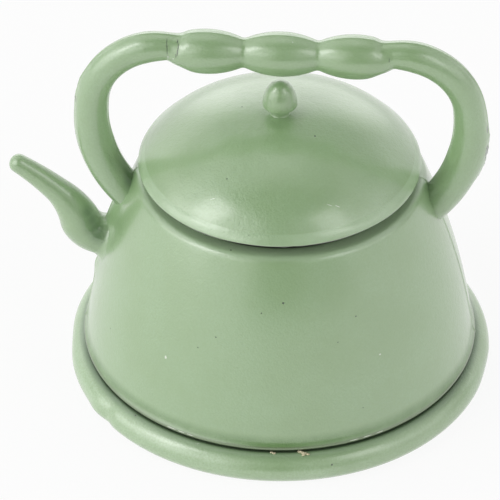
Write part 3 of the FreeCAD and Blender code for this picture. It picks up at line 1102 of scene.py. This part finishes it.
class MakeKettleBody(bpy.types.Operator):
    """Cast wall, handle and spout in one piece, hollow inside"""
    bl_idname = "kettle.make_body"
    bl_label = "Kettle body"

    def execute(self, context):
        scene = context.scene
        wall = millimetres(scene.kettle_wall)
        body = add_form("painted_body", shell_rows(wall))
        handle = add_form("handle", handle_rows(millimetres(scene.kettle_handle)))
        spout = add_form("spout", spout_rows(millimetres(scene.kettle_spout), wall))
        for part in (handle, spout):
            combine(body, part, "UNION")
        combine(body, add_form("inside", inside_rows(wall)), "DIFFERENCE")
        look = scene.kettle_paint
        material = painted_metal("body_satin", look, look.paint, BODY_MARKS, ledge=wall.shoulder)
        finish_piece(body, material, ("kettle_body",))
        return {"FINISHED"}


class MakeLid(bpy.types.Operator):
    """Domed lid with its acorn knob"""
    bl_idname = "kettle.make_lid"
    bl_label = "Lid"

    def execute(self, context):
        scene = context.scene
        seat = scene.kettle_wall.collar_top / MM
        lid = add_form("painted_lid", lid_rows(millimetres(scene.kettle_lid), seat))
        look = scene.kettle_paint
        material = painted_metal("lid_satin", look, look.paint, LID_MARKS, foot=seat, coarse=1.5)
        finish_piece(lid, material, ("lid",))
        return {"FINISHED"}


class MakeBase(bpy.types.Operator):
    """Thick round disc under the kettle"""
    bl_idname = "kettle.make_base"
    bl_label = "Base"

    def execute(self, context):
        scene = context.scene
        sizes = millimetres(scene.kettle_base)
        base = add_form("painted_base", base_rows(sizes))
        look = scene.kettle_paint
        # The base takes the lighter copy of the paint: painted light from the bright floor.
        material = painted_metal("base_satin", look, look.rim, BASE_MARKS, ledge=sizes.height)
        finish_piece(base, material, ("base",))
        return {"FINISHED"}


class MakeCrumbs(bpy.types.Operator):
    """Crumbs of old glue that show at the front of the crevice"""
    bl_idname = "kettle.make_crumbs"
    bl_label = "Glue crumbs"

    def execute(self, context):
        whole = None
        for number, (x, y, z, size) in enumerate(CRUMBS):
            turn = full_turn(18)
            rows = []
            for lean in np.radians(np.linspace(-80, 80, 9)):
                ragged = 1 + 0.28 * np.sin(3 * turn + number) * np.cos(2.3 * lean + number)
                ring = size * math.cos(lean) * ragged
                rows.append(np.stack([
                    x + 1.25 * ring * np.cos(turn),
                    y + 0.8 * ring * np.sin(turn),
                    z + 0.55 * size * math.sin(lean) * (1 + 0.2 * np.cos(2 * turn)),
                ], 1))
            crumb = add_form("crumb", np.array(rows))
            if whole is None:
                whole = crumb
            else:
                combine(whole, crumb, "UNION")
        whole.name = "glue_crumbs"
        finish_piece(whole, crumb_material(context.scene.kettle_paint), ())
        return {"FINISHED"}


class MakeStage(bpy.types.Operator):
    """Pale floor, soft studio light and the camera"""
    bl_idname = "kettle.make_stage"
    bl_label = "Stage"

    def execute(self, context):
        scene = context.scene
        look = scene.kettle_studio
        self.add_floor(look)
        self.add_world(scene, look)
        for name, (place, power), share in (
            ("left_softbox", LEFT_BOX, look.left), ("right_softbox", RIGHT_BOX, look.right)
        ):
            lamp = bpy.data.lights.new(name, "AREA")
            lamp.shape = "RECTANGLE"
            lamp.size, lamp.size_y = BOX_SIZE
            lamp.energy = power * share
            self.aim(scene, bpy.data.objects.new(name, lamp), place, BOX_TARGET)
        lens = bpy.data.cameras.new("camera")
        lens.sensor_width = CAMERA_SENSOR
        lens.lens = CAMERA_LENS
        lens.clip_start, lens.clip_end = CAMERA_RANGE
        scene.camera = bpy.data.objects.new("camera", lens)
        self.aim(scene, scene.camera, CAMERA_PLACE, CAMERA_TARGET)
        scene.view_settings.view_transform = "Standard"
        return {"FINISHED"}

    def aim(self, scene, made, place, target):
        """Put a lamp or the camera in its place, turned towards its target."""
        made.location = place
        way = Vector(target) - made.location
        made.rotation_euler = way.to_track_quat("-Z", "Y").to_euler()
        scene.collection.objects.link(made)

    def add_floor(self, look):
        """Wide plain floor that stays white in view and keeps a faint shadow."""
        mesh = bpy.data.meshes.new("floor")
        half = FLOOR_HALF
        corners = [(-half, -half, 0), (half, -half, 0), (half, half, 0), (-half, half, 0)]
        mesh.from_pydata(corners, [], [(0, 1, 2, 3)])
        floor = bpy.data.objects.new("floor", mesh)
        bpy.context.scene.collection.objects.link(floor)
        material, tree = new_material("floor_card")[:2]
        tree.nodes.clear()
        place = tree.nodes.new("ShaderNodeTexCoord").outputs["Object"]
        shade = ramp(tree, noise(tree, place, 900.0, 2.0), 0.3, 0.7, 0.0, 0.06)
        tint = mixed(tree, shade, (*look.floor, 1), FLOOR_FLECK)
        card = node(tree, "ShaderNodeBsdfDiffuse", Color=tint)
        white = node(tree, "ShaderNodeEmission", Color=(1, 1, 1, 1), Strength=1.0)
        path = tree.nodes.new("ShaderNodeLightPath").outputs
        seen = maths(tree, "MAXIMUM", path["Is Camera Ray"], path["Is Glossy Ray"])
        seen = maths(tree, "MAXIMUM", seen, path["Is Transmission Ray"])
        share = maths(tree, "MULTIPLY", seen, 0.9)
        blend = tree.nodes.new("ShaderNodeMixShader")
        for number, socket in enumerate((share, card.outputs[0], white.outputs[0])):
            feed(tree, blend.inputs[number], socket)
        node(tree, "ShaderNodeOutputMaterial", Surface=blend.outputs[0])
        mesh.materials.append(material)

    def add_world(self, scene, look):
        """Large soft panels round the kettle, in front of a white backdrop."""
        world = bpy.data.worlds.new("studio")
        world.use_nodes = True
        scene.world = world
        tree = world.node_tree
        tree.nodes.clear()
        way = tree.nodes.new("ShaderNodeTexCoord").outputs["Generated"]
        panels = [(look.left, panel) for panel in LEFT_PANELS]
        panels += [(look.right, panel) for panel in RIGHT_PANELS]
        panels += [(look.back, panel) for panel in BACK_PANELS]
        light = 0.0
        for side, (azimuth, elevation, power) in panels:
            turn, rise = math.radians(azimuth), math.radians(elevation)
            flat = math.cos(rise)
            middle = (-math.sin(turn) * flat, -math.cos(turn) * flat, math.sin(rise))
            facing = vector_maths(tree, "DOT_PRODUCT", way, middle, out="Value")
            panel = ramp(tree, facing, PANEL_EDGE, PANEL_CORE, 0.0, side * power)
            light = maths(tree, "ADD", light, panel)
        split = node(tree, "ShaderNodeSeparateXYZ", Vector=way).outputs
        low = ramp(tree, split["Z"], 0.3, 0.75, 1.0, 0.0)
        backdrop = maths(tree, "MULTIPLY", ramp(tree, split["Y"], 0.1, 0.75), low)
        path = tree.nodes.new("ShaderNodeLightPath").outputs
        mirrored = maths(tree, "MAXIMUM", path["Is Glossy Ray"], path["Is Transmission Ray"])
        light = maths(tree, "MAXIMUM", light, maths(tree, "MULTIPLY", mirrored, backdrop))
        seen = path["Is Camera Ray"]
        unseen = maths(tree, "SUBTRACT", 1.0, seen)
        shown = maths(tree, "ADD", maths(tree, "MULTIPLY", light, unseen), seen)
        back = node(tree, "ShaderNodeBackground", Color=(1, 1, 1, 1), Strength=shown)
        node(tree, "ShaderNodeOutputWorld", Surface=back.outputs[0])


class KettlePanel(bpy.types.Panel):
    """Buttons that make the kettle's pieces"""
    bl_idname = "VIEW3D_PT_kettle"
    bl_label = "Tea kettle"
    bl_space_type = "VIEW_3D"
    bl_region_type = "UI"
    bl_category = "Kettle"

    def draw(self, context):
        for maker in MAKERS:
            self.layout.operator(maker.bl_idname)


GROUPS = {
    "kettle_wall": WallSizes,
    "kettle_handle": HandleSizes,
    "kettle_spout": SpoutSizes,
    "kettle_lid": LidSizes,
    "kettle_base": BaseSizes,
    "kettle_paint": PaintLook,
    "kettle_studio": StudioLook,
}
MAKERS = (MakeStage, MakeKettleBody, MakeLid, MakeBase, MakeCrumbs)


def register():
    for kind in (*GROUPS.values(), *MAKERS, KettlePanel):
        bpy.utils.register_class(kind)
    for name, kind in GROUPS.items():
        setattr(bpy.types.Scene, name, PointerProperty(type=kind))


def unregister():
    for name in GROUPS:
        delattr(bpy.types.Scene, name)
    for kind in (KettlePanel, *reversed(MAKERS), *GROUPS.values()):
        bpy.utils.unregister_class(kind)


def main():
    """Build the whole scene."""
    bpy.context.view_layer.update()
    register()
    bpy.ops.kettle.make_stage()
    bpy.ops.kettle.make_body()
    bpy.ops.kettle.make_lid()
    bpy.ops.kettle.make_base()
    bpy.ops.kettle.make_crumbs()


if __name__ == "__main__":
    main()
